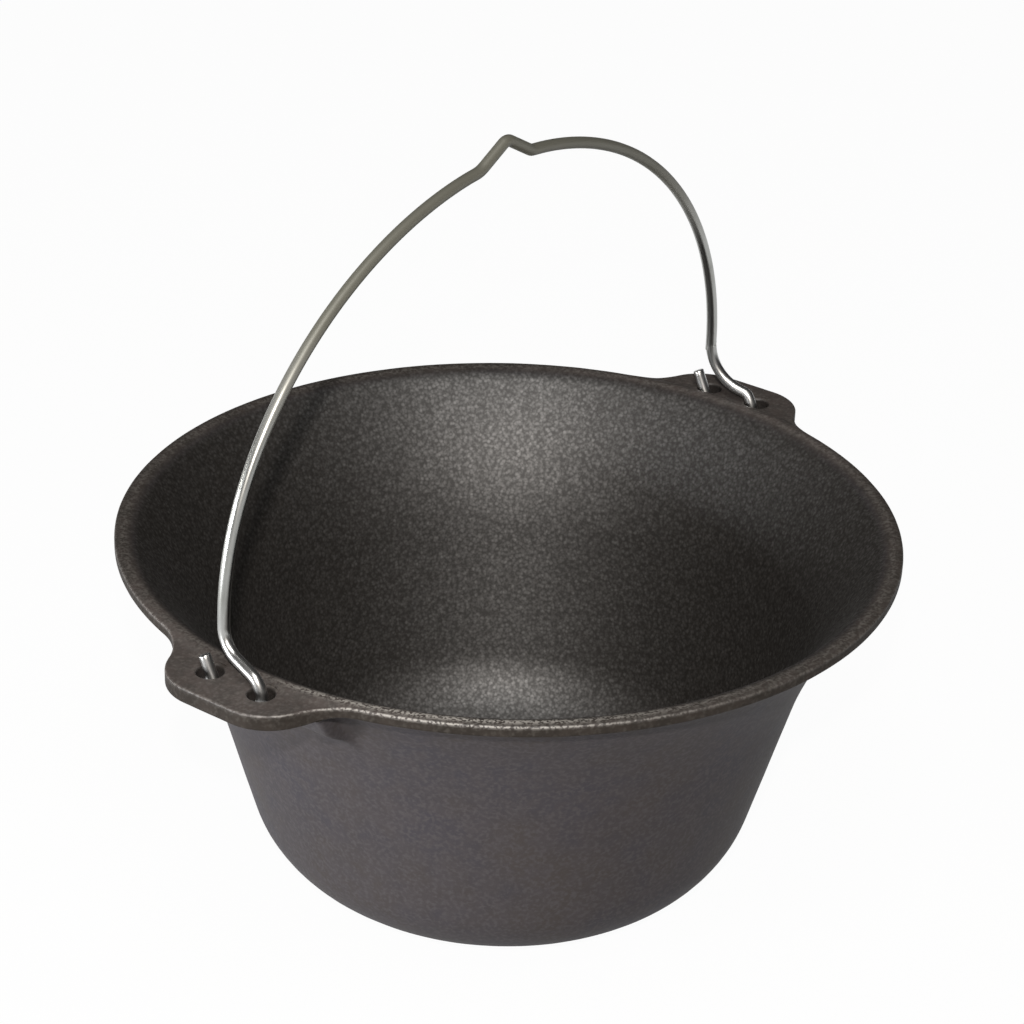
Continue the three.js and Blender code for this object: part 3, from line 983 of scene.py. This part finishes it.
zinc, zinc_shader, zinc_place = new_finish("zinc_wire")
wire_place = zinc_place.stored("wire_place", "Vector")
lines = wire_place.stretched(2.6, 2.6, 0.035).noise(1.0, detail=3, roughness=0.6)
patches = wire_place.stretched(0.5, 0.5, 0.06).noise(1.0, detail=3, roughness=0.6)
wire_height = zinc_place.node("SeparateXYZ", "Z", Vector=zinc_place)
is_leg = wire_height.between(LEG_FROM, LEG_TO)
# Painted shade: the top of the arch is made dark and dull.
is_shaded_arch = wire_height.between(ARCH_SHADE_FROM, ARCH_SHADE_TO)

# Painted highlight: the ends are brighter than the legs.
zinc_colour = is_leg.mix(LIT_END_ZINC, LEG_ZINC)
zinc_colour = (patches.between(0.4, 0.75) * is_leg * 0.5).mix(zinc_colour, DARK_PATCH)
zinc_colour = (lines.between(0.4, 0.75) * 0.25).mix(zinc_colour, LIGHT_LINE)
feed(zinc_shader, "Base Color", is_shaded_arch.mix(zinc_colour, SHADED_ARCH_ZINC))
feed(zinc_shader, "Roughness", 0.32 + is_shaded_arch * 0.18 + (patches - 0.5) * 0.15 + (lines - 0.5) * 0.1)
feed(zinc_shader, "Metallic", 1 - is_shaded_arch * 0.75)
feed(zinc_shader, "Normal", lines.node("Bump", "Normal", Height=lines, Strength=0.03, Distance=0.0002))
bail.data.materials.append(zinc)
print("zinc nodes:", len(zinc.node_tree.nodes))

# %% [markdown]
# ## Hang the pieces on the part
#
# Each piece rides on the body of the part that it belongs to and stands for its solid. The swing of the
# bail then moves the wire with it.

# %% Ride on the bodies
for piece, body, node, slot in ((casting, "pot", "cast_pot", "iron"), (bail, "bail", "wire_bail", "wire")):
    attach(piece, body)
    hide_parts(node)

# %% [markdown]
# ## Camera
#
# The camera stands in front and above, and looks down into the pot. Its place and its lens belong
# together: from further off, a longer lens would give the same size, but less difference between
# the near lug and the far one. It has a small roll, as hand-held pictures do.

# %% Place the camera
CAMERA_AT = Vector((-0.86033, -0.63810, 0.71224))
CAMERA_AIM = Vector((0.06319, 0.04566, 0.12599))
CAMERA_ROLL = math.radians(1.788)
CAMERA_LENS = 100.67
CAMERA_SENSOR = 36

look = bpy.data.cameras.new("camera")
look.sensor_width = CAMERA_SENSOR
look.lens = CAMERA_LENS
camera = bpy.data.objects.new("camera", look)
bpy.context.scene.collection.objects.link(camera)
facing = (CAMERA_AIM - CAMERA_AT).to_track_quat("-Z", "Y").to_matrix().to_4x4()
camera.matrix_world = Matrix.Translation(CAMERA_AT) @ facing @ Matrix.Rotation(CAMERA_ROLL, 4, "Z")
bpy.context.scene.camera = camera
print("camera looks", [round(v, 4) for v in (CAMERA_AIM - CAMERA_AT).normalized()])

# %% [markdown]
# ## Light and floor
#
# A small lamp beside the camera gives the sheen on the far wall and the fine shadow of the bail. A
# wide lamp overhead fills the bowl, a low, cooler one at the left lights the outside, and a weak one
# behind just reaches the wall below the lip. The room itself is dim, so that dark iron stays dark.
# Each lamp's level is the share of white that it gives on a surface that faces it.

# %% Lamps
POT_MIDDLE = Vector((0, 0, 0.12))
ROOM_GREY = (0.03, 0.03, 0.0315, 1)


def add_lamp(name, at, size, level, colour):
    """A square lamp that gives a white surface facing it that share of white."""
    way = POT_MIDDLE - Vector(at)
    lamp = bpy.data.lights.new(name, "AREA")
    lamp.size = size
    lamp.color = colour
    lamp.energy = level * math.pi ** 2 * way.length_squared
    holder = bpy.data.objects.new(name, lamp)
    holder.location = at
    holder.rotation_euler = way.to_track_quat("-Z", "Y").to_euler()
    bpy.context.scene.collection.objects.link(holder)


add_lamp("lamp_by_camera", (-0.875, -0.636, 0.853), size=0.035, level=1.06, colour=(1.0, 0.94, 0.885))
add_lamp("lamp_overhead", (-0.45, -0.33, 1.30), size=0.5, level=0.54, colour=(1.0, 0.985, 0.96))
add_lamp("lamp_left", (-1.15, 0.55, 0.19), size=0.3, level=0.98, colour=(0.97, 0.98, 1.0))
add_lamp("lamp_behind", (-0.75, 1.0, 0.23), size=0.22, level=0.22, colour=(1.0, 0.985, 0.95))
world = bpy.data.worlds.new("room")
bpy.context.scene.world = world
world.use_nodes = True
world.node_tree.nodes["Background"].inputs["Color"].default_value = ROOM_GREY
world.node_tree.nodes["Background"].inputs["Strength"].default_value = 1.0
bpy.context.scene.view_settings.view_transform = "Standard"

# %% [markdown]
# The floor is a plain pale sheet, wide enough that no view shows its end. To the camera and to
# reflections it shows mostly as plain white, and the rest of it is a matt surface that keeps the
# pot's shadow. More light would make it white as well, but would wash out the iron.

# %% Floor
FLOOR_SIZE = 40
FLOOR_DROP = 0.0002
FLOOR_WHITE = 0.97
FLOOR_MATT = (0.55, 0.55, 0.55, 1)

floor_half = FLOOR_SIZE / MM / 2
floor_corners = np.array([[-1, -1, 0], [1, -1, 0], [1, 1, 0], [-1, 1, 0]]) * floor_half
floor = new_piece("floor", floor_corners, [[0, 1, 2, 3]])
floor.location.z = -FLOOR_DROP
paper = bpy.data.materials.new("pale_floor")
paper.use_nodes = True
paper_nodes = paper.node_tree.nodes
paper_nodes.remove(paper_nodes["Principled BSDF"])
ray = Tone(paper_nodes.new("ShaderNodeLightPath").outputs["Is Camera Ray"])
mirrored = ray.maths("MAXIMUM", ray.also("Is Glossy Ray"), ray.also("Is Transmission Ray"))
seen = ray.maths("MAXIMUM", ray, mirrored)
matt = ray.node("BsdfDiffuse", Color=FLOOR_MATT)
glow = ray.node("Emission", Color=(1, 1, 1, 1), Strength=1.0)
blend = ray.node("MixShader", _0=seen * FLOOR_WHITE, _1=matt, _2=glow)
paper.node_tree.links.new(blend.socket, paper_nodes["Material Output"].inputs["Surface"])
floor.data.materials.append(paper)
print("floor of", FLOOR_SIZE, "m")
